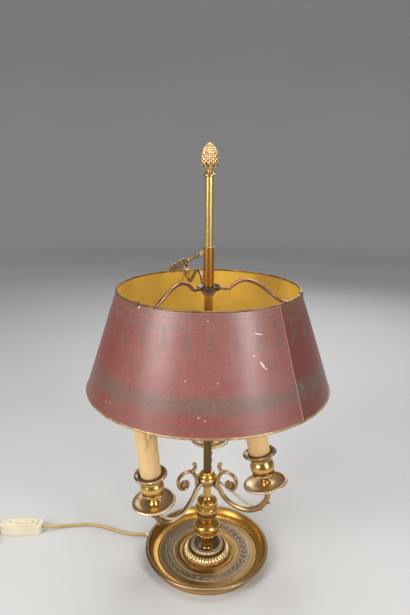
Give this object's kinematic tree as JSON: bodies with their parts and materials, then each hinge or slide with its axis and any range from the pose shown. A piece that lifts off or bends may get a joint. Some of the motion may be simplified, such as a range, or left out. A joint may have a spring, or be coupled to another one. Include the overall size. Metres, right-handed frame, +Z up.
{
  "type": "bouillotte lamp",
  "caption": "Brass bouillotte table lamp: dish base, turned stem, scrolled candle arms, rod with sliding clamped conical metal shade, cord with inline switch.",
  "frame": {"origin": "centre of the base's foot ring on the table surface", "axes": "+Z up along the column rod; +X to the right and +Y away from the viewer of the picture"},
  "size_m": [0.6195, 0.3538, 0.6406],
  "materials": {
    "brass_bronze": "copper-brown aged brass",
    "brass_gold": "polished brass, lightly aged",
    "brass_inner": "plain brass, hidden",
    "brass_patina": "grey-brown patinated brass",
    "brass_rod": "drawn brass with vertical wear streaks",
    "bulb_glass": "clear candle bulb",
    "candle_card": "cream candle sleeve with drips",
    "cord_gold": "gold-beige mains flex",
    "felt_green": "felt",
    "holder_black": "moulded phenolic",
    "ivory": "ivory moulded plastic",
    "rim_gilt": "worn gilt edge",
    "shade_paint": "dusty burgundy tole paint outside, ochre inside",
    "steel_inner": "zinc-plated steel",
    "steel_pin": "nickel-plated",
    "tie_band": "plastic band",
    "wire_cream": "pale flex"
  },
  "bodies": {
    "root": {"base_dish": "brass_gold", "cord_bush": "ivory", "base_boss": "brass_patina", "base_felt": "felt_green", "central_tube": "steel_inner", "bottom_nut": "steel_inner", "stem_foot": "brass_gold", "bead_ring": "brass_gold", "stem_bulb": "brass_gold", "stem_vase": "brass_gold", "stem_bell": "brass_gold", "arm_hub": "brass_gold", "hub_cap": "brass_gold", "column_rod": "brass_rod", "finial_collar": "brass_rod", "finial_pinecone": "brass_patina", "arm_screws": "steel_inner", "inner_wires": "wire_cream", "bulb_caps": "steel_pin", "switch_lower": "ivory", "switch_upper": "ivory", "switch_screws": "steel_inner", "switch_terminals": "brass_inner", "cord_lead": "cord_gold", "cord_tail": "cord_gold", "plug_lead": "cord_gold", "cord_coil": "cord_gold", "coil_tie": "tie_band", "plug_body": "ivory", "plug_pins": "steel_pin", "arm_left": "brass_patina", "wire_left": "wire_cream", "pan_left": "brass_patina", "cup_left": "brass_gold", "candle_left": "candle_card", "lampholder_left": "holder_black", "bulb_left": "bulb_glass", "arm_right": "brass_patina", "wire_right": "wire_cream", "pan_right": "brass_patina", "cup_right": "brass_gold", "candle_right": "candle_card", "lampholder_right": "holder_black", "bulb_right": "bulb_glass", "arm_rear": "brass_patina", "wire_rear": "wire_cream", "pan_rear": "brass_patina", "cup_rear": "brass_gold", "candle_rear": "candle_card", "lampholder_rear": "holder_black", "bulb_rear": "bulb_glass"},
    "carrier": {"carrier_sleeve": "brass_rod", "carrier_nut": "brass_bronze"},
    "clamp_key": {"clamp_key": "brass_patina"},
    "shade": {"shade_spider": "brass_bronze", "shade": "shade_paint", "shade_bottom_rim": "rim_gilt", "shade_top_rim": "rim_gilt", "rim_clips": "brass_patina"},
    "switch_rocker": {"switch_rocker": "ivory"}
  },
  "joints": [
    {"name": "shade_slide", "type": "slide", "parent": "root", "child": "carrier", "axis": [0, 0, 1], "range_m": [-0.06, 0.088]},
    {"name": "shade_turn", "type": "hinge", "parent": "carrier", "child": "shade", "pos_m": [0, 0, 0.44], "axis": [0, 0, 1], "continuous": true},
    {"name": "key_turn", "type": "hinge", "parent": "carrier", "child": "clamp_key", "pos_m": [0, 0, 0.499], "axis": [-0.8844, -0.1086, -0.454], "range_deg": [-180, 180]},
    {"name": "switch_rocker_tilt", "type": "hinge", "parent": "root", "child": "switch_rocker", "pos_m": [-0.3185, 0.049, 0.0146], "axis": [0, 1, 0], "range_deg": [-12, 0]}
  ]
}
